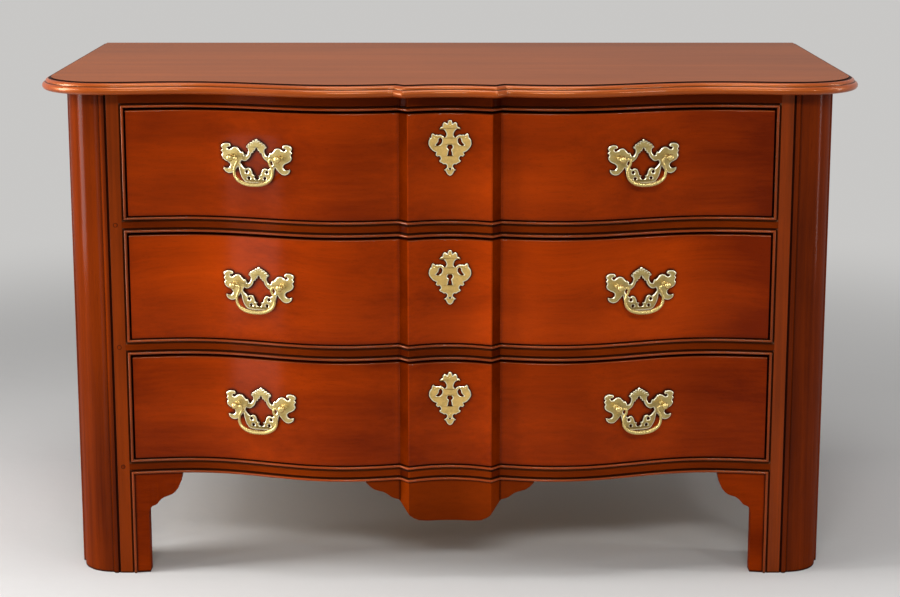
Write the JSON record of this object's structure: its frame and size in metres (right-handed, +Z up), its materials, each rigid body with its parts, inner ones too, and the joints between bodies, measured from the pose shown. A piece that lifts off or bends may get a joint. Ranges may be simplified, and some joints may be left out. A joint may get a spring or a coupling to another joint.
{
  "type": "chest of drawers",
  "caption": "Serpentine-front chest of long drawers with a dished centre block, reeded corner posts, beaded rails, scrolled foot brackets and pierced brass bail handles.",
  "frame": {"origin": "on the floor under the middle of the top board", "axes": "+Z up, +X to the right seen from the front, -Y towards the front, where the drawers pull out"},
  "size_m": [1.25, 0.66, 0.7806],
  "materials": {
    "show_wood": "French-polished red-brown mahogany veneer with a plum-pudding figure",
    "post_wood": "French-polished solid mahogany with a straight grain",
    "top_wood": "French-polished mahogany, a little faded by light",
    "drawer_wood": "bare, aged oak and pine of the inner parts",
    "brass": "lacquered and aged brass with polished bevels"
  },
  "bodies": {
    "carcase": {"top": "top_wood", "back_board": "drawer_wood", "dust_board": "drawer_wood", "bottom_rail": "show_wood", "lower_divider": "show_wood", "upper_divider": "show_wood", "top_rail": "show_wood", "centre_pendant": "show_wood", "front_post_left": "post_wood", "rear_post_left": "post_wood", "side_left": "show_wood", "foot_bracket_left": "show_wood", "kicker_left": "drawer_wood", "bottom_runner_left": "drawer_wood", "bottom_guide_left": "drawer_wood", "middle_runner_left": "drawer_wood", "middle_guide_left": "drawer_wood", "top_runner_left": "drawer_wood", "top_guide_left": "drawer_wood", "front_post_right": "post_wood", "rear_post_right": "post_wood", "side_right": "show_wood", "foot_bracket_right": "show_wood", "kicker_right": "drawer_wood", "bottom_runner_right": "drawer_wood", "bottom_guide_right": "drawer_wood", "middle_runner_right": "drawer_wood", "middle_guide_right": "drawer_wood", "top_runner_right": "drawer_wood", "top_guide_right": "drawer_wood"},
    "bottom_drawer": {"bottom_drawer_front": "show_wood", "bottom_drawer_side_left": "drawer_wood", "bottom_drawer_side_right": "drawer_wood", "bottom_drawer_back": "drawer_wood", "bottom_drawer_bottom": "drawer_wood", "bottom_handle_plate_left": "brass", "bottom_handle_plate_right": "brass", "bottom_keyhole_plate": "brass"},
    "bottom_bail_left": {"bottom_bail_left": "brass"},
    "bottom_bail_right": {"bottom_bail_right": "brass"},
    "middle_drawer": {"middle_drawer_front": "show_wood", "middle_drawer_side_left": "drawer_wood", "middle_drawer_side_right": "drawer_wood", "middle_drawer_back": "drawer_wood", "middle_drawer_bottom": "drawer_wood", "middle_handle_plate_left": "brass", "middle_handle_plate_right": "brass", "middle_keyhole_plate": "brass"},
    "middle_bail_left": {"middle_bail_left": "brass"},
    "middle_bail_right": {"middle_bail_right": "brass"},
    "top_drawer": {"top_drawer_front": "show_wood", "top_drawer_side_left": "drawer_wood", "top_drawer_side_right": "drawer_wood", "top_drawer_back": "drawer_wood", "top_drawer_bottom": "drawer_wood", "top_handle_plate_left": "brass", "top_handle_plate_right": "brass", "top_keyhole_plate": "brass"},
    "top_bail_left": {"top_bail_left": "brass"},
    "top_bail_right": {"top_bail_right": "brass"}
  },
  "joints": [
    {"name": "bottom_drawer_slide", "type": "slide", "parent": "carcase", "child": "bottom_drawer", "axis": [0, -1, 0], "range_m": [0, 0.36]},
    {"name": "bottom_bail_left_swing", "type": "hinge", "parent": "bottom_drawer", "child": "bottom_bail_left", "pos_m": [-0.29582, -0.27907, 0.2782], "axis": [-0.9628, 0.2702, 0], "range_deg": [-14, 165]},
    {"name": "bottom_bail_right_swing", "type": "hinge", "parent": "bottom_drawer", "child": "bottom_bail_right", "pos_m": [0.29582, -0.27907, 0.2782], "axis": [-0.9628, -0.2702, 0], "range_deg": [-14, 165]},
    {"name": "middle_drawer_slide", "type": "slide", "parent": "carcase", "child": "middle_drawer", "axis": [0, -1, 0], "range_m": [0, 0.36]},
    {"name": "middle_bail_left_swing", "type": "hinge", "parent": "middle_drawer", "child": "middle_bail_left", "pos_m": [-0.29582, -0.27907, 0.4682], "axis": [-0.9628, 0.2702, 0], "range_deg": [-14, 165]},
    {"name": "middle_bail_right_swing", "type": "hinge", "parent": "middle_drawer", "child": "middle_bail_right", "pos_m": [0.29582, -0.27907, 0.4682], "axis": [-0.9628, -0.2702, 0], "range_deg": [-14, 165]},
    {"name": "top_drawer_slide", "type": "slide", "parent": "carcase", "child": "top_drawer", "axis": [0, -1, 0], "range_m": [0, 0.36]},
    {"name": "top_bail_left_swing", "type": "hinge", "parent": "top_drawer", "child": "top_bail_left", "pos_m": [-0.29582, -0.27907, 0.6652], "axis": [-0.9628, 0.2702, 0], "range_deg": [-14, 165]},
    {"name": "top_bail_right_swing", "type": "hinge", "parent": "top_drawer", "child": "top_bail_right", "pos_m": [0.29582, -0.27907, 0.6652], "axis": [-0.9628, -0.2702, 0], "range_deg": [-14, 165]}
  ]
}
